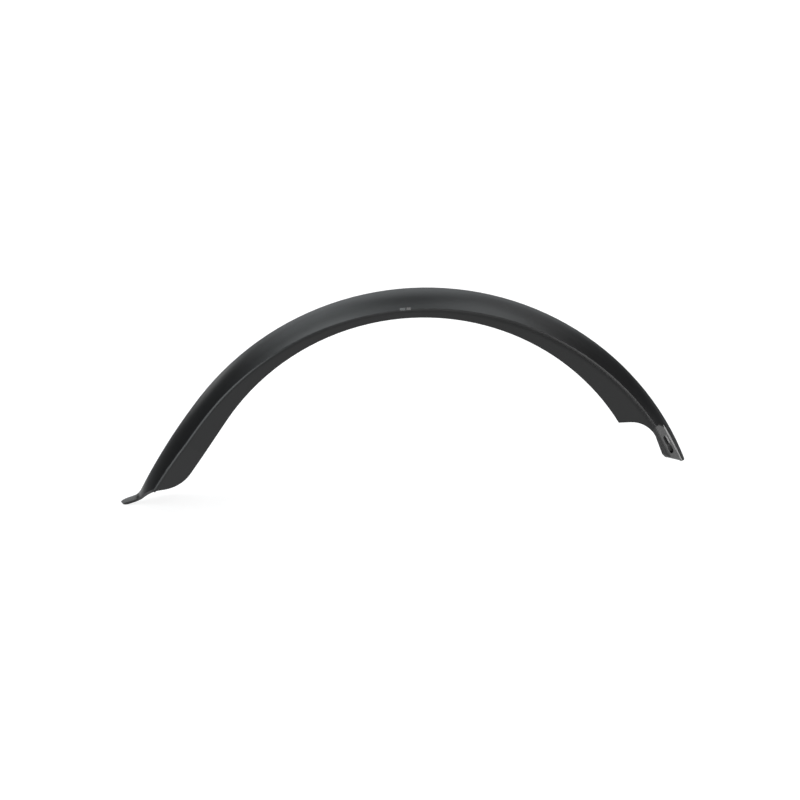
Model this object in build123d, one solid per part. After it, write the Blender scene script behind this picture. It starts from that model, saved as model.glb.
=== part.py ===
from build123d import *

import os
from math import atan, cos, degrees, radians, sin, sqrt, tan

# Mudguard for a 20-inch bicycle wheel, moulded as one thin wall of black plastic.
# A crowned channel runs round the wheel. Its skirts are shallow over the top and deep at both ends.
# At the front end two flat seats with keyhole slots are sunk into the edges of the crown.
# At the rear end the channel narrows, and the crown runs out into a tongue that curls outwards.
# Frame: +X forwards, +Y to the far side, +Z up. The wheel axle lies along Y, and the origin is midway
# between the eyes of the two keyhole slots.

# Section of the channel, in millimetres and degrees
CROWN_RADIUS = 265.0  # wheel axle to the top of the crown
HALF_WIDTH = 34.2  # middle of the crown to the crease
CROWN_DROP = 8.7  # top of the crown down to the crease
WALL = 2.3  # thickness of the moulded wall
SKIRT_DRAFT = 2.5  # outward lean of the skirts
CREASE_ROUND = 1.6  # outside radius of the crease
INNER_ROUND = 0.8  # inside radius of the crease

# Path of the crown, with angles from the top of the wheel
FRONT_ANGLE = 68.2  # front tip of the crown
REAR_ANGLE = 52.6  # where the wheel arc ends and the flatter rear arc begins
REAR_RADIUS = 584.0  # flatter rear arc
REAR_LENGTH = 105.8  # length of the rear arc along the crown
TAPER_START = 32.0  # along the rear arc, where the channel begins to narrow
TAPER = 4.3  # inward slant of each side from there on
CURL_RADIUS = 9.4  # outward curl of the tongue, on its outer face
CURL_TURN = 44.3  # angle that the curl turns through
TAIL_LENGTH = 13.3  # straight end of the tongue

# Lower edge of the skirts, as depths below the crease
SKIRT_TOP_DEPTH = 8.0  # over the top of the wheel
SKIRT_FRONT_DEPTH = 25.8  # at the sharp front corner
SKIRT_FRONT_ANGLE = 51.1
SKIRT_REAR_DEPTH = 17.6  # where the rear edge turns straight
SKIRT_REAR_ANGLE = 50.5
SKIRT_END_LENGTH = 88.2  # along the rear arc, where the skirt's end meets the underside of the crown
SKIRT_END_SLOPE = 10.5  # fall of the skirt's end edge
SKIRT_END_ROUND = 38.0  # rounded rear lower corner

# Front end
SCALLOP_SLOPE = -1.0  # fall of the edge in front of the sharp corner
SCALLOP_ROUND = 26.0
TAB_EDGE_DEPTH = 6.6  # tab's lower edge below the crease
TAB_EDGE_ANGLE = 60.2  # wheel angle where that depth is taken
TAB_EDGE_SLOPE = 69.5  # fall of the tab's lower edge
TAB_LENGTH = 7.2  # middle of the seat to the start of the tab's flank
TAB_FLANK = 42.0  # angle of the flank from square across
TAB_CORNER_ROUND = 20.0  # between the tab's lower edge and its flank
TIP_ROUND = 40.0  # rounded front tip, seen from outside

# Sunk seats and their keyhole slots
SEAT_ANGLE = 62.0  # wheel angle at the middle of the seats
SEAT_TILT = 41.0  # lean of the seat's normal from radial
SEAT_INSET = 0.8  # seat's lower edge inside the skirt's outer face
SEAT_REACH = 20.5  # middle of the seat back to its end wall
SEAT_SIDE = 17.6  # lower edge of the seat up to its side wall
SEAT_CORNER_ROUND = 10.0
SEAT_END_DRAFT = 30.0  # slant of the end wall from the seat's normal
SEAT_SIDE_DRAFT = 15.0  # slant of the side wall
SEAT_EDGE_ROUND = 10.0  # between the seat and the skirt
SEAT_EDGE_RUNOUT = 1.2  # slant at which that round dies out towards the back
PAD_DEPTH = 6.5  # outer face of the seat to the back of the pad behind the slot
PAD_MARGIN = 3.0  # pad outside the slot
SLOT_RISE = 11.1  # lower edge of the seat up to the slot's centre line
SLOT_START = 8.2  # middle of the seat back to the slot's narrow end
SLOT_LENGTH = 18.8
SLOT_WIDTH = 4.0
EYE_LENGTH = 9.0  # wider front end of the slot
EYE_WIDTH = 5.8

# Tongue, seen from outside
TONGUE_HALF_WIDTH = 6.8
TONGUE_STRAIGHT = 14.6  # tip back to the neck, where the taper ends
TONGUE_NECK_ROUND = 9.0

PASS = 5.0  # how far a cutting shape passes the faces that it cuts
LAP = 0.1  # how far a round runs past the faces that it joins
FAR = 2 * CROWN_RADIUS  # beyond the part

CREASE_RADIUS = CROWN_RADIUS - CROWN_DROP
CROWN_CURVE = (HALF_WIDTH**2 + CROWN_DROP**2) / (2 * CROWN_DROP)
SKIRT_BASE = CREASE_RADIUS - max(SKIRT_FRONT_DEPTH, SKIRT_REAR_DEPTH) - PASS
LEAN = tan(radians(SKIRT_DRAFT))
SKIRT_TURN = 90 - SKIRT_DRAFT - SEAT_TILT  # angle between the seat and the skirt
REAR_TURN = degrees(REAR_LENGTH / REAR_RADIUS)
TONGUE_SLOPE = REAR_ANGLE + REAR_TURN - CURL_TURN / 2  # mean fall of the tongue


def on_wheel(radius, angle):
    """Point of the side view at a radius from the axle and an angle forwards of the top."""
    return Vector(radius * sin(radians(angle)), 0, radius * cos(radians(angle)))


def falling(slope):
    """Direction of the side view that runs forwards and falls by a slope."""
    return Vector(cos(radians(slope)), 0, -sin(radians(slope)))


def meet(start, direction, other, other_direction):
    """Point of the side view where two lines cross."""
    gap = other - start
    cross = direction.X * other_direction.Z - direction.Z * other_direction.X
    return start + direction * ((gap.X * other_direction.Z - gap.Z * other_direction.X) / cross)


def narrowing(length):
    """How far each side has come in at a length along the rear arc."""
    return max(0, length - TAPER_START) * tan(radians(TAPER))


REAR_CENTRE = on_wheel(CROWN_RADIUS - REAR_RADIUS, -REAR_ANGLE)
SKIRT_END_SIDE = HALF_WIDTH - narrowing(SKIRT_END_LENGTH)
SKIRT_END_DROP = CROWN_CURVE - sqrt(CROWN_CURVE**2 - SKIRT_END_SIDE**2)
# Depth of the underside of the crown there
SKIRT_END_DEPTH = SKIRT_END_DROP + WALL * CROWN_CURVE / (CROWN_CURVE - SKIRT_END_DROP)


def rear_point(length, depth):
    """Point of the side view on the rear arc, below the top of its crown by a depth."""
    angle = -REAR_ANGLE - degrees(length / REAR_RADIUS)
    return REAR_CENTRE + on_wheel(REAR_RADIUS - depth, angle)


def at_rear(length, face):
    """A section of the top of the wheel, carried to a length along the rear arc."""
    slope = REAR_ANGLE + degrees(length / REAR_RADIUS)
    return Pos(rear_point(length, 0)) * Rot(0, -slope, 0) * Pos(0, 0, -CROWN_RADIUS) * face


def section(inset, narrower=0):
    """Filled section of the channel at the top of the wheel, set in from the outer face."""
    curve = CROWN_CURVE - inset
    centre = CROWN_RADIUS - CROWN_CURVE
    # The skirt's line is y = reach - LEAN * z, and it meets the crown's circle at the corner
    reach = HALF_WIDTH - narrower + LEAN * CREASE_RADIUS - inset / cos(radians(SKIRT_DRAFT))
    offset = reach - LEAN * centre
    rise = LEAN * offset + sqrt(curve**2 * (1 + LEAN**2) - offset**2)
    rise = rise / (1 + LEAN**2)
    corner = (offset - LEAN * rise, centre + rise)
    base = SKIRT_BASE - (PASS if inset else 0)
    foot = (reach - LEAN * base, base)
    crown = ThreePointArc((-corner[0], corner[1]), (0, centre + curve), corner)
    sides = Polyline(corner, foot, (-foot[0], base), (-corner[0], corner[1]))
    face = make_face([crown, *sides.edges()])
    corners = [v for v in face.vertices() if v.Y > base + PASS]
    return Plane.YZ * fillet(corners, INNER_ROUND if inset else CREASE_ROUND)


def crown_strip():
    """Section of the crown's wall alone, for the tongue's root."""
    side = HALF_WIDTH - narrowing(REAR_LENGTH) - 2 * WALL
    band = section(0) - section(WALL)
    window = Plane.YZ * Pos(0, CREASE_RADIUS + FAR / 2) * Rectangle(2 * side, FAR)
    return band & window


def round_the_wheel(inset):
    """Channel from past the front tip round the wheel arc and along the narrowing rear arc."""
    start = Rot(0, -REAR_ANGLE, 0) * section(inset)
    overrun = degrees(PASS / CROWN_RADIUS)
    wheel_arc = revolve(start, Axis.Y, revolution_arc=REAR_ANGLE + FRONT_ANGLE + overrun)
    rear_axis = Axis(REAR_CENTRE, (0, -1, 0))
    rear_arc = revolve(start, rear_axis, revolution_arc=degrees(TAPER_START / REAR_RADIUS))
    step = (REAR_LENGTH - TAPER_START) / 3
    lengths = [TAPER_START + step * i for i in range(4)]
    taper = loft([at_rear(length, section(inset, narrowing(length))) for length in lengths])
    return wheel_arc + rear_arc + taper


def side_void():
    """Everything below the lower edge of the skirts in the side view, as a cutting shape."""
    front_corner = on_wheel(CREASE_RADIUS - SKIRT_FRONT_DEPTH, SKIRT_FRONT_ANGLE)
    top = on_wheel(CREASE_RADIUS - SKIRT_TOP_DEPTH, 0)
    rear_turn = on_wheel(CREASE_RADIUS - SKIRT_REAR_DEPTH, -SKIRT_REAR_ANGLE)
    lower_edge = ThreePointArc(front_corner, top, rear_turn)
    # Past the end of the skirt the cut follows the underside of the crown
    skirt_end = rear_point(SKIRT_END_LENGTH, SKIRT_END_DEPTH)
    under_rear = rear_point(REAR_LENGTH + PASS, SKIRT_END_DEPTH)
    rear_corner = meet(rear_turn, lower_edge % 1, skirt_end, falling(-SKIRT_END_SLOPE))
    tab_edge = on_wheel(CREASE_RADIUS - TAB_EDGE_DEPTH, TAB_EDGE_ANGLE)
    tab_fall = falling(TAB_EDGE_SLOPE)
    scallop = meet(front_corner, falling(SCALLOP_SLOPE), tab_edge, tab_fall)
    tab_far = tab_edge + tab_fall * CROWN_RADIUS
    edges = Polyline(
        rear_turn, rear_corner, skirt_end, under_rear, (-FAR, 0, 0), tab_far, scallop, front_corner
    )
    face = make_face([lower_edge, *edges.edges()])
    rounds = ((rear_corner, SKIRT_END_ROUND), (scallop, SCALLOP_ROUND))
    for corner, radius in rounds:
        face = fillet(face.vertices().sort_by_distance(corner)[0], radius)
    return extrude(face, FAR, dir=(0, 1, 0), both=True)


def tip_cut():
    """Everything past the rounded front tip, seen square to the crown at the seats."""
    outward = on_wheel(1, SEAT_ANGLE)
    plan = Plane(outward * CROWN_RADIUS, x_dir=falling(SEAT_ANGLE), z_dir=outward)
    middle = CROWN_RADIUS * sin(radians(FRONT_ANGLE - SEAT_ANGLE)) - TIP_ROUND
    window = Pos(middle + FAR / 2, 0) * Rectangle(FAR, FAR)
    nose = Pos(middle, 0) * Circle(TIP_ROUND)
    return extrude(plan * (window - nose), FAR / 4, both=True)


def seat_plane(sink):
    """Plane of the near seat, X along the crown to the front and Y up the seat, sunk by a wall."""
    radial = on_wheel(1, SEAT_ANGLE)
    near = Vector(0, -1, 0)
    normal = radial * cos(radians(SEAT_TILT)) + near * sin(radians(SEAT_TILT))
    side = HALF_WIDTH + LEAN * TAB_EDGE_DEPTH - SEAT_INSET
    edge = radial * (CREASE_RADIUS - TAB_EDGE_DEPTH) + near * side
    return Plane(edge - normal * sink, x_dir=falling(SEAT_ANGLE), z_dir=normal)


def seat_outline(back, top, corner_round):
    """Outline of the space outside the near seat, in the seat's plane."""
    front = FAR / 4
    low = -FAR / 8
    outline = make_face(Polyline((back, low), (front, low), (front, top), (back, top), close=True))
    return fillet(outline.vertices().sort_by_distance((back, top))[0], corner_round)


def seat_pocket(grow):
    """Space outside the near seat, grown by a wall on its floor and its slanted sides."""
    end, side = radians(SEAT_END_DRAFT), radians(SEAT_SIDE_DRAFT)
    back = -SEAT_REACH - grow * (1 - sin(end)) / cos(end)
    top = SEAT_SIDE + grow * (1 - sin(side)) / cos(side)
    rise = 3 * CROWN_DROP
    corner_round = SEAT_CORNER_ROUND + grow * (1 - sin(side)) / cos(side)
    widen = rise * tan(side)
    low = seat_plane(grow)
    floor = low * seat_outline(back, top, corner_round)
    mouth = low.offset(rise) * seat_outline(back - rise * tan(end), top + widen, corner_round + widen)
    return loft([floor, mouth], ruled=True)


def seat_edge(grow):
    """Sliver outside the round between the near seat and the skirt, for one face of the wall."""
    half = SKIRT_TURN / 2
    # Height up the seat of the round's axis, from where the seat's plane meets the skirt
    meeting = -SEAT_INSET * cos(radians(SKIRT_DRAFT)) / sin(radians(SKIRT_TURN))
    axis_up = meeting + SEAT_EDGE_ROUND * tan(radians(half))
    axis = Vector(axis_up, -SEAT_EDGE_ROUND)
    corner = SEAT_EDGE_ROUND / cos(radians(half)) + PASS
    flat = SEAT_EDGE_ROUND + PASS

    def out(angle, reach):
        return axis + Vector(-sin(radians(angle)), cos(radians(angle))) * reach

    kite = make_face(Polyline(axis, out(0, flat), out(half, corner), out(SKIRT_TURN, flat), close=True))
    sliver = kite - Pos(axis) * Circle(SEAT_EDGE_ROUND - grow + LAP)
    seat = seat_plane(0)
    across = Plane(seat.from_local_coords((PASS, 0, 0)), x_dir=seat.y_dir, z_dir=seat.x_dir)
    # Backwards the round's axis leans outwards, along the middle of the corner
    outward = seat.z_dir * cos(radians(half)) - seat.y_dir * sin(radians(half))
    lean = seat.x_dir - outward * tan(radians(SEAT_EDGE_RUNOUT))
    return extrude(across * sliver, SEAT_REACH + PASS, dir=lean, both=True)


def flank_cut():
    """Everything past the near corner and the flank of the tab, cut square to the seat."""
    slant = tan(radians(TAB_FLANK))
    # The tab's lower edge crosses the seat's plane as a straight line, here passed by a little
    tab_edge = on_wheel(CREASE_RADIUS - TAB_EDGE_DEPTH, TAB_EDGE_ANGLE)
    fall = tan(radians(TAB_EDGE_SLOPE - SEAT_ANGLE)) / sin(radians(SEAT_TILT))
    start = tab_edge.dot(falling(SEAT_ANGLE))
    lift = tab_edge.dot(on_wheel(1, SEAT_ANGLE)) - CREASE_RADIUS + TAB_EDGE_DEPTH
    height = lift / sin(radians(SEAT_TILT)) - 3 * LAP
    up = (height - fall * (TAB_LENGTH - start)) / (1 + fall * slant)
    corner = (TAB_LENGTH + slant * up, up)
    back = -SEAT_REACH
    top = SEAT_SIDE + PASS
    low_back = (back, height - fall * (back - start))
    high_front = (TAB_LENGTH + slant * top, top)
    keep = make_face(Polyline(low_back, corner, high_front, (back, top), close=True))
    keep = fillet(keep.vertices().sort_by_distance(corner)[0], TAB_CORNER_ROUND)
    turn = 90 - TAB_FLANK + degrees(atan(fall))
    begin = corner[0] - TAB_CORNER_ROUND * tan(radians(turn / 2))
    reach = FAR / 8
    window = Polyline((begin, -reach), (reach, -reach), (reach, top), (begin, top), close=True)
    return extrude(seat_plane(0) * (make_face(window) - keep), 2 * PASS, both=True)


def both_sides(shape):
    """A shape of the near side with its mirror image on the far side."""
    return shape + mirror(shape, Plane.XZ)


def seat_pad():
    """Thicker pad behind the near keyhole slot, with its own outline in the seat's plane."""
    start = -SLOT_START
    outline = SlotOverall(SLOT_LENGTH + 2 * PAD_MARGIN, EYE_WIDTH + 2 * PAD_MARGIN)
    outline = Pos(start + SLOT_LENGTH / 2, SLOT_RISE) * outline
    return extrude(seat_plane(PAD_DEPTH) * outline, PAD_DEPTH - WALL / 2)


def keyhole():
    """Near keyhole slot through the seat, with its wider eye at the front."""
    start = -SLOT_START
    end = start + SLOT_LENGTH
    narrow = Pos((start + end) / 2, SLOT_RISE) * SlotOverall(SLOT_LENGTH, SLOT_WIDTH)
    eye = Pos(end - EYE_LENGTH / 2, SLOT_RISE) * SlotOverall(EYE_LENGTH, EYE_WIDTH)
    return extrude(seat_plane(0) * (narrow + eye), PAD_DEPTH + PASS, both=True)


def tongue():
    """Outward curl and straight tail that carry on the crown's wall past the rear arc."""
    slope = REAR_ANGLE + REAR_TURN
    root = at_rear(REAR_LENGTH, crown_strip())
    axis = Axis(rear_point(REAR_LENGTH, -CURL_RADIUS), (0, 1, 0))
    curl = revolve(root, axis, revolution_arc=CURL_TURN)
    tail_root = root.rotate(axis, CURL_TURN)
    rearward = -falling(CURL_TURN - slope)
    return curl + extrude(tail_root, TAIL_LENGTH, dir=rearward)


def tongue_cut():
    """Everything outside the tongue's plan, from the end of the skirts to its rounded tip."""
    outward = on_wheel(1, -TONGUE_SLOPE)
    rearward = -falling(-TONGUE_SLOPE)
    corner = rear_point(SKIRT_END_LENGTH, SKIRT_END_DEPTH)
    plan = Plane(corner, x_dir=rearward, z_dir=outward)
    slope = REAR_ANGLE + REAR_TURN
    curl_centre = rear_point(REAR_LENGTH, -CURL_RADIUS)
    curl_end = curl_centre - on_wheel(CURL_RADIUS, CURL_TURN - slope)
    tail_end = curl_end - falling(CURL_TURN - slope) * TAIL_LENGTH
    tip = (tail_end - corner).dot(rearward)
    side = TONGUE_HALF_WIDTH
    neck = tip - TONGUE_STRAIGHT
    # The taper runs from the crease at the skirt's end to the neck, and on past its start
    root = -PASS
    root_side = SKIRT_END_SIDE + PASS * (SKIRT_END_SIDE - side) / neck
    nose = ThreePointArc((tip - side, side), (tip, 0), (tip - side, -side))
    edges = Polyline(
        (tip - side, -side), (neck, -side), (root, -root_side),
        (root, root_side), (neck, side), (tip - side, side),
    )
    keep = make_face([nose, *edges.edges()])
    necks = [v for v in keep.vertices() if abs(v.X - neck) < WALL]
    keep = fillet(necks, TONGUE_NECK_ROUND)
    window = Pos(FAR / 2, 0) * Rectangle(FAR, FAR)
    return extrude(plan * (window - keep), FAR / 4, both=True)


# The wall lies between the outer and the inner shape, and both are sunk at the seats
outer = round_the_wheel(0) - both_sides(seat_pocket(0)) - both_sides(seat_edge(0))
inner = round_the_wheel(WALL) - both_sides(seat_pocket(WALL)) - both_sides(seat_edge(WALL))
guard = outer - inner + both_sides(seat_pad())
guard = guard - side_void() - tip_cut() - both_sides(flank_cut())
guard = guard + tongue() - tongue_cut() - both_sides(keyhole())

# The origin goes midway between the eyes of the keyhole slots
eye_along = SLOT_LENGTH - SLOT_START - EYE_LENGTH / 2
eye = seat_plane(0).from_local_coords((eye_along, SLOT_RISE, 0))
guard = Pos(-eye.X, 0, -eye.Z) * guard

os.makedirs("parts", exist_ok=True)
guard.label = "mudguard"
export_step(guard, "parts/mudguard.step")
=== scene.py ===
from math import cos, pi, radians, sin

import bpy
from mathutils import Matrix, Vector


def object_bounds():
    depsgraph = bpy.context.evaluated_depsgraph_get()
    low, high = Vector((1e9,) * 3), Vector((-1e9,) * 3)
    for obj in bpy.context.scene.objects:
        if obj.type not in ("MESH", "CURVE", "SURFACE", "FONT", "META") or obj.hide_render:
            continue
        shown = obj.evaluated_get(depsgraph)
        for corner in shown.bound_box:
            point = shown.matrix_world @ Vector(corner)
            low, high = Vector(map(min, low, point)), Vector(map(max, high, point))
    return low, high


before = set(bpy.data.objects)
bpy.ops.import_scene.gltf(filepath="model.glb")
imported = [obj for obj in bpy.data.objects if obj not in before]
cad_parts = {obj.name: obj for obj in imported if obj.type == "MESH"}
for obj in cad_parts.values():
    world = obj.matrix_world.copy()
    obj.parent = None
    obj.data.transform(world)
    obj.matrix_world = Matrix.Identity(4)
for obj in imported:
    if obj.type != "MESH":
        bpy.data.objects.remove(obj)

cad_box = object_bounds()
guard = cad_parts["mudguard"]
scene = bpy.context.scene

# The guard's own sizes in metres, as in the CAD: the arc round the wheel, the rear leg's flatter arc, and the
# crown's curve from side to side
AXLE, CROWN = Vector((-0.229766, 0, -0.115260)), 0.265
REAR_TURN, REAR_ARC = radians(-52.6), 0.584
REAR_CENTRE = AXLE + Vector((sin(REAR_TURN), 0, cos(REAR_TURN))) * (CROWN - REAR_ARC)
HALF_WIDTH, CROWN_DROP, DRAFT = 0.0342, 0.0087, radians(2.5)
CURVE = (HALF_WIDTH**2 + CROWN_DROP**2) / (2 * CROWN_DROP)

# The skirts' roll below the crease is tighter on the rear leg and wider on the front leg: two places along the
# guard, with the roll's width or its lean at each of them
ROLL_WIDTH = (-0.30, -0.06, 0.0032, 0.0065)
ROLL_LEAN = (-0.42, -0.26, radians(42), radians(26))
ROLL_POWER = 1.4
# It starts just below the crease, keeps clear of the inside of the channel, and ends before the seats
ROLL_TOP, ROLL_INNER, ROLL_END = 0.0001, 0.026, -0.018
# How far a face must look sideways to be a skirt, from not at all to wholly
SKIRT_FACES = (0.5, 0.8)

# The near seat's plane, as in the CAD: where its outer edge lies, and the ways out of it, in from the edge and
# along the guard
SEAT_TURN, SEAT_TILT = radians(62), radians(41)
SEAT_OUT = Vector((sin(SEAT_TURN), 0, cos(SEAT_TURN)))
SEAT_NORMAL = SEAT_OUT * cos(SEAT_TILT) + Vector((0, -sin(SEAT_TILT), 0))
SEAT_UP = SEAT_OUT * sin(SEAT_TILT) + Vector((0, cos(SEAT_TILT), 0))
SEAT_ALONG = Vector((cos(SEAT_TURN), 0, -sin(SEAT_TURN)))
SEAT_EDGE = AXLE + SEAT_OUT * 0.2497 + Vector((0, -0.033688, 0))
SEAT_REAR = -0.0205
# The seat's floor rolls over softly towards its outer edge. It is told from what lies round it by how squarely a
# face looks out of the seat's plane, and by its height over that plane
SEAT_ROLL_WIDTH, SEAT_ROLL_LEAN, SEAT_ROLL_POWER = 0.0085, radians(27), 1.2
SEAT_FLOOR_FACES, SEAT_FLOOR = 0.85, (-0.0008, 0.0003)
# Round lips along the seat's inner side and the inner side of the slot's narrow part: from and to where each
# lies in from the edge, and along the guard
SEAT_LIPS = ((0.0168, 0.0186, -0.0165, 0.03), (0.0131, 0.0146, -0.007, 0.001))
SEAT_LIP_FACES, SEAT_LIP, SEAT_LIP_LEAN = 0.2, (-0.001, 0.0015), radians(23)

# The low moulded mark on the near crease at the top has two halves: where each lies along the guard, the height
# of its foot and how it faces
MARK_HALVES = (
    (-0.2537, -0.2487, 0.1400, (-0.48, -0.80, 0.36)),
    (-0.2477, -0.2438, 0.1404, (0.40, -0.81, 0.43)),
)
MARK_INNER = -0.0313

# The plastic: its fine mould grain, its faint clouds with the colour and roughness at both ends of them, and how
# much smoother the lips and the mark are
GRAIN_SCALE, GRAIN_STRENGTH, GRAIN_HEIGHT = 1400.0, 0.12, 0.0001
CLOUD_SCALE = 16.0
DARKER, LIGHTER = (0.0040, 0.0042, 0.0044, 1), (0.0054, 0.0056, 0.0059, 1)
SMOOTHER, ROUGHER = 0.33, 0.41
LIP_POLISH, MARK_POLISH = 0.24, 0.12


def feed(tree, slot, value):
    """Links a socket to an input, or sets the input to a plain value."""
    if isinstance(value, bpy.types.NodeSocket):
        tree.links.new(value, slot)
    else:
        slot.default_value = value


def node(tree, kind, **values):
    """A new node with some of its inputs fed."""
    made = tree.nodes.new(kind)
    for name, value in values.items():
        feed(tree, made.inputs[name.replace("_", " ")], value)
    return made


def calc(tree, operation, *values, clamp=False):
    """The result of a maths node on sockets and plain numbers."""
    made = tree.nodes.new("ShaderNodeMath")
    made.operation, made.use_clamp = operation, clamp
    for slot, value in zip(made.inputs, values):
        feed(tree, slot, value)
    return made.outputs[0]


def vector(tree, operation, *values, scale=None):
    """The result of a vector maths node on sockets and plain vectors."""
    made = tree.nodes.new("ShaderNodeVectorMath")
    made.operation = operation
    for slot, value in zip(made.inputs, values):
        feed(tree, slot, value)
    if scale is not None:
        feed(tree, made.inputs["Scale"], scale)
    return made.outputs["Value" if operation in ("DISTANCE", "DOT_PRODUCT", "LENGTH") else "Vector"]


def split(tree, value):
    """The three parts of a vector."""
    return node(tree, "ShaderNodeSeparateXYZ", Vector=value).outputs


def eased(tree, value, low, high, first=0.0, last=1.0):
    """A number that goes smoothly from first to last while a value goes from low to high."""
    made = node(tree, "ShaderNodeMapRange", Value=value, From_Min=low, From_Max=high,
                To_Min=first, To_Max=last)
    made.interpolation_type = "SMOOTHSTEP"
    return made.outputs["Result"]


def all_of(tree, first, *others):
    """1 where all the parts are 1, and 0 where one of them is 0."""
    for other in others:
        first = calc(tree, "MULTIPLY", first, other)
    return first


def between(tree, value, low, high):
    """1 where a value lies between two numbers or sockets."""
    return all_of(tree, calc(tree, "GREATER_THAN", value, low), calc(tree, "LESS_THAN", value, high))


def falling(tree, value, width, power):
    """A number that falls from 1 to 0 while a value goes from 0 to a width."""
    share = calc(tree, "SUBTRACT", 1.0, calc(tree, "DIVIDE", value, width), clamp=True)
    return calc(tree, "POWER", share, power)


def choose(tree, here, before, after):
    """One vector where here is 0, and the other where it is 1."""
    made = tree.nodes.new("ShaderNodeMix")
    made.data_type = "VECTOR"
    # A mix node has a pair of inputs for each kind of value: the fifth and sixth inputs are its two vectors
    for slot, value in ((0, here), (4, before), (5, after)):
        feed(tree, made.inputs[slot], value)
    return made.outputs[1]


def true_normal(tree):
    """The way that the CAD's own face looks."""
    return node(tree, "ShaderNodeNewGeometry").outputs["True Normal"]


def crown_places(tree, place):
    """How far a point lies below the crown's outer face, and the way out from the middle of its arc."""
    x, y, z = split(tree, place)
    behind = calc(tree, "ADD",
                  calc(tree, "MULTIPLY", calc(tree, "SUBTRACT", x, AXLE.x), -cos(REAR_TURN)),
                  calc(tree, "MULTIPLY", calc(tree, "SUBTRACT", z, AXLE.z), sin(REAR_TURN)))
    rear = calc(tree, "GREATER_THAN", behind, 0.0)
    centre = choose(tree, rear, AXLE, REAR_CENTRE)
    ray = vector(tree, "SUBTRACT", vector(tree, "MULTIPLY", place, (1, 0, 1)), centre)
    lift = calc(tree, "SQRT", calc(tree, "SUBTRACT", CURVE**2, calc(tree, "POWER", y, 2.0)))
    radius = calc(tree, "MULTIPLY_ADD", rear, REAR_ARC - CROWN, CROWN - CURVE)
    depth = calc(tree, "SUBTRACT", calc(tree, "ADD", radius, lift), vector(tree, "LENGTH", ray))
    return depth, vector(tree, "NORMALIZE", ray)


def rolled_skirt(tree, place, normal):
    """The normal with the skirts rolling over towards the crease, which stays crisp on the crown's side."""
    x, y = split(tree, place)[:2]
    side = calc(tree, "SIGN", y)
    depth, out = crown_places(tree, place)
    width = eased(tree, x, *ROLL_WIDTH)
    sideways = calc(tree, "MULTIPLY", split(tree, true_normal(tree))["Y"], side)
    here = all_of(tree, eased(tree, sideways, *SKIRT_FACES), between(tree, depth, ROLL_TOP, width),
                  calc(tree, "GREATER_THAN", calc(tree, "MULTIPLY", y, side), ROLL_INNER),
                  calc(tree, "LESS_THAN", x, ROLL_END))
    share = falling(tree, depth, width, ROLL_POWER)
    lean = calc(tree, "MULTIPLY_ADD", share, eased(tree, x, *ROLL_LEAN), DRAFT)
    aside = node(tree, "ShaderNodeCombineXYZ", Y=calc(tree, "MULTIPLY", calc(tree, "COSINE", lean), side))
    rolled = vector(tree, "ADD", vector(tree, "SCALE", out, scale=calc(tree, "SINE", lean)), aside.outputs[0])
    return choose(tree, here, normal, rolled)


def soft_seat(tree, place, normal):
    """The normal with each seat's soft outer side and its lips that catch the light, and where the lips are."""
    # Both seats are measured as the near one: a point of the far side and its face are mirrored first
    side = calc(tree, "SIGN", split(tree, place)["Y"])
    mirror = node(tree, "ShaderNodeCombineXYZ", X=1.0, Y=calc(tree, "MULTIPLY", side, -1.0), Z=1.0).outputs[0]
    from_edge = vector(tree, "SUBTRACT", vector(tree, "MULTIPLY", place, mirror), SEAT_EDGE)
    inwards, above, forward = (vector(tree, "DOT_PRODUCT", from_edge, way)
                               for way in (SEAT_UP, SEAT_NORMAL, SEAT_ALONG))
    facing = vector(tree, "DOT_PRODUCT", vector(tree, "MULTIPLY", true_normal(tree), mirror), SEAT_NORMAL)

    def leaning(lean):
        """The seat's normal leaning outwards, on whichever side the point is."""
        level = vector(tree, "SCALE", SEAT_NORMAL, scale=calc(tree, "COSINE", lean))
        across = vector(tree, "SCALE", SEAT_UP, scale=calc(tree, "SINE", lean))
        return vector(tree, "MULTIPLY", vector(tree, "SUBTRACT", level, across), mirror)

    floor = all_of(tree, between(tree, above, *SEAT_FLOOR),
                   calc(tree, "GREATER_THAN", facing, SEAT_FLOOR_FACES),
                   calc(tree, "GREATER_THAN", forward, SEAT_REAR),
                   calc(tree, "LESS_THAN", inwards, SEAT_ROLL_WIDTH))
    lean = calc(tree, "MULTIPLY", falling(tree, inwards, SEAT_ROLL_WIDTH, SEAT_ROLL_POWER), SEAT_ROLL_LEAN)
    lips = [all_of(tree, between(tree, inwards, low, high), between(tree, forward, start, end))
            for low, high, start, end in SEAT_LIPS]
    lip = all_of(tree, calc(tree, "ADD", *lips), between(tree, above, *SEAT_LIP),
                 calc(tree, "GREATER_THAN", facing, SEAT_LIP_FACES))
    return choose(tree, lip, choose(tree, floor, normal, leaning(lean)), leaning(SEAT_LIP_LEAN)), lip


def top_mark(tree, place, normal):
    """The normal with the low moulded mark on the near crease, and where the mark is."""
    x, y, z = split(tree, place)
    halves = []
    for low, high, foot, facing in MARK_HALVES:
        half = all_of(tree, between(tree, x, low, high), calc(tree, "LESS_THAN", y, MARK_INNER),
                      calc(tree, "GREATER_THAN", z, foot))
        normal = choose(tree, half, normal, Vector(facing).normalized())
        halves.append(half)
    return normal, calc(tree, "ADD", *halves)


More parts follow.
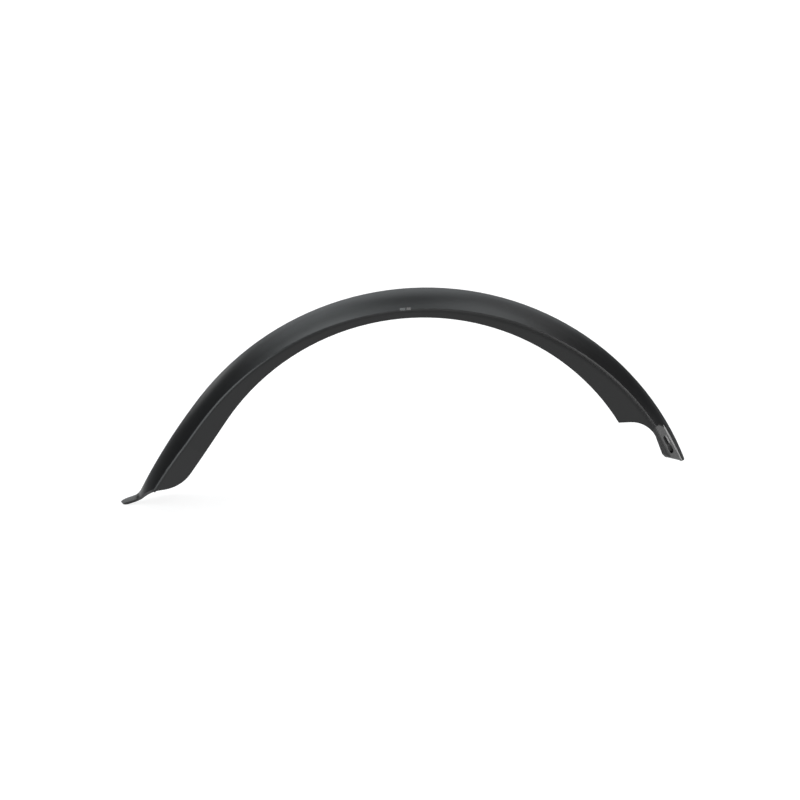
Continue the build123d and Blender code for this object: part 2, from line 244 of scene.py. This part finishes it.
def black_plastic():
    """Satin black plastic with a fine mould grain and faint clouds in its colour and gloss."""
    mat = bpy.data.materials.new("black_plastic")
    mat.use_nodes = True
    tree = mat.node_tree
    shader = tree.nodes["Principled BSDF"]
    place = node(tree, "ShaderNodeTexCoord").outputs["Object"]
    grain = node(tree, "ShaderNodeTexNoise", Vector=place, Scale=GRAIN_SCALE, Detail=3.0, Roughness=0.6)
    cloud = node(tree, "ShaderNodeTexNoise", Vector=place, Scale=CLOUD_SCALE, Detail=4.0, Roughness=0.55)
    share = cloud.outputs["Fac"]
    shade = tree.nodes.new("ShaderNodeMix")
    shade.data_type = "RGBA"
    for name, value in (("Factor", share), ("A", DARKER), ("B", LIGHTER)):
        feed(tree, shade.inputs[name], value)
    feed(tree, shader.inputs["Base Color"], shade.outputs["Result"])
    normal = rolled_skirt(tree, place, node(tree, "ShaderNodeNewGeometry").outputs["Normal"])
    normal, lip = soft_seat(tree, place, normal)
    normal, mark = top_mark(tree, place, normal)
    rough = node(tree, "ShaderNodeMapRange", Value=share, To_Min=SMOOTHER, To_Max=ROUGHER).outputs["Result"]
    rough = calc(tree, "MULTIPLY_ADD", lip, -LIP_POLISH, rough)
    rough = calc(tree, "MULTIPLY_ADD", mark, -MARK_POLISH, rough)
    feed(tree, shader.inputs["Roughness"], rough)
    bump = node(tree, "ShaderNodeBump", Strength=GRAIN_STRENGTH, Distance=GRAIN_HEIGHT,
                Height=grain.outputs["Fac"], Normal=normal)
    feed(tree, shader.inputs["Normal"], bump.outputs["Normal"])
    shader.inputs["IOR"].default_value = 1.49
    shader.inputs["Specular IOR Level"].default_value = 0.44
    return mat


guard.material_slots[0].material = black_plastic()


def stage_plane(name, place, width, depth):
    """A level stage piece with a material of its own."""
    bpy.ops.mesh.primitive_plane_add(size=1, location=place)
    plane = bpy.context.object
    plane.name = name
    plane.scale = (width, depth, 1)
    mat = bpy.data.materials.new(name)
    mat.use_nodes = True
    plane.data.materials.append(mat)
    return plane


def white_floor(height):
    """A plain floor that ends behind the picture, evenly white to the eye, with the guard's soft shadow."""
    tree = stage_plane("floor", (-0.25, -0.6, height), 9, 7).active_material.node_tree
    tree.nodes.clear()
    matt = node(tree, "ShaderNodeBsdfDiffuse", Color=(0.30, 0.30, 0.30, 1))
    # The lamps light the floor less further out, and its own glow makes up for that
    place = node(tree, "ShaderNodeNewGeometry").outputs["Position"]
    away = vector(tree, "DISTANCE", place, (-0.25, 0, height))
    glow = node(tree, "ShaderNodeEmission", Strength=eased(tree, away, 0.3, 2.6, 0.83, 1.0))
    none = node(tree, "ShaderNodeEmission", Strength=0.0)
    # The glow is seen by eye and in reflections, and lights nothing
    path = node(tree, "ShaderNodeLightPath").outputs
    seen = calc(tree, "MAXIMUM", path["Is Camera Ray"], path["Is Glossy Ray"])
    pick = node(tree, "ShaderNodeMixShader", Fac=calc(tree, "MAXIMUM", seen, path["Is Transmission Ray"]))
    both = node(tree, "ShaderNodeAddShader")
    out = node(tree, "ShaderNodeOutputMaterial")
    for source, slot in ((none, pick.inputs[1]), (glow, pick.inputs[2]), (matt, both.inputs[0]),
                         (pick, both.inputs[1]), (both, out.inputs["Surface"])):
        feed(tree, slot, source.outputs[0])


def dark_cloth(height):
    """A grey cloth behind the guard that only its gloss shows, as in a studio for black goods."""
    cloth = stage_plane("dark_cloth", (-0.25, 1.5, height + 0.001), 9, 2.8)
    shader = cloth.active_material.node_tree.nodes["Principled BSDF"]
    shader.inputs["Base Color"].default_value = (0.2, 0.2, 0.2, 1)
    shader.inputs["Roughness"].default_value = 0.9
    cloth.visible_camera = False
    cloth.visible_diffuse = False
    cloth.visible_transmission = False
    cloth.visible_shadow = False


# Where the lights point, and their colours
MIDDLE = Vector((-0.2, 0.0, 0.05))
WHITE, COOL = (1, 1, 1), (0.95, 1.0, 1.02)


def softbox(name, place, target, width, height, radiance, colour):
    """A rectangular light at a place, facing a target, with a radiance that is the same at any size."""
    data = bpy.data.lights.new(name, "AREA")
    data.shape = "RECTANGLE"
    data.size, data.size_y = width, height
    data.energy = radiance * pi * width * height
    data.color = colour
    lamp = bpy.data.objects.new(name, data)
    scene.collection.objects.link(lamp)
    lamp.location = place
    lamp.rotation_mode = "QUATERNION"
    lamp.rotation_quaternion = (Vector(target) - Vector(place)).to_track_quat("-Z", "Y")
    lamp.visible_camera = False


def soft_light(name, turn, rise, distance, width, height, radiance, colour):
    """A softbox in a direction from the guard: degrees round from straight behind it, and up from level."""
    turn, rise = radians(turn), radians(rise)
    toward = Vector((sin(turn) * cos(rise), cos(turn) * cos(rise), sin(rise)))
    softbox(name, MIDDLE + toward * distance, MIDDLE, width, height, radiance, colour)


white_floor(cad_box[0].z)
dark_cloth(cad_box[0].z)

# Each light's name, turn, rise, distance, width, height, radiance and colour
for light in (
    ("front", 180, 17, 3.6, 2.2, 2.0, 0.75, WHITE),
    ("front_high", 180, 39, 2.6, 1.6, 0.6, 2.8, WHITE),
    ("front_left", -120, 20, 2.4, 1.3, 1.5, 4.8, COOL),
    ("front_right", 125, 26, 2.4, 1.3, 1.1, 5.4, WHITE),
    ("over_left", -80, 58, 2.0, 1.0, 0.9, 4.7, COOL),
    ("over_right", 80, 60, 2.0, 1.0, 0.9, 2.0, WHITE),
    ("top", 0, 84, 1.8, 0.9, 0.9, 1.1, COOL),
    ("back_left", -36, 60, 1.9, 0.8, 0.9, 1.1, COOL),
    ("back_right", 36, 60, 1.9, 0.8, 0.9, 1.7, COOL),
    ("back_low_left", -30, 34, 2.2, 0.9, 0.7, 1.2, COOL),
    ("back_low", 0, 30, 2.6, 1.0, 0.8, 0.8, COOL),
    ("back_low_right", 30, 34, 2.2, 0.9, 0.7, 0.5, WHITE),
    ("back_wall", 0, 11, 3.25, 2.8, 1.1, 0.5, COOL),
    ("back_wall_left", -13, 13, 3.2, 0.7, 0.6, 0.35, COOL),
):
    soft_light(*light)
# Three smaller ones: for the seats, for the top of the tongue and for the lips
softbox("right", (1.25, 0.13, 0.20), (0.0, 0.0, 0.0), 0.36, 0.45, 5.6, WHITE)
softbox("tongue_light", (-0.62, 0.47, 0.085), (-0.50, 0.0, -0.045), 0.16, 0.12, 0.8, WHITE)
softbox("edge_light", (1.59, -1.23, 0.09), (0.0, 0.0, 0.0), 0.18, 0.18, 14.0, WHITE)

scene.world = bpy.data.worlds.new("studio")
scene.world.use_nodes = True
sky = scene.world.node_tree.nodes["Background"]
sky.inputs["Color"].default_value = (0.05, 0.05, 0.052, 1)
sky.inputs["Strength"].default_value = 1.0

# The camera stands where the photograph's perspective puts it, square to the picture's middle
CAMERA_PLACE = (-0.38570, -2.85325, 0.93181)
azimuth, elevation = radians(-2.6819), radians(17.2736)
ahead = Vector((-sin(azimuth) * cos(elevation), cos(azimuth) * cos(elevation), -sin(elevation)))
right = Vector((cos(azimuth), sin(azimuth), 0))
turned = Matrix((right, right.cross(ahead), -ahead)).transposed().to_4x4()
camera_data = bpy.data.cameras.new("camera")
camera_data.sensor_width = 36
camera_data.lens = 144
camera_data.clip_end = 100
camera = bpy.data.objects.new("camera", camera_data)
scene.collection.objects.link(camera)
camera.matrix_world = Matrix.Translation(CAMERA_PLACE) @ turned
scene.camera = camera
scene.view_settings.view_transform = "Standard"
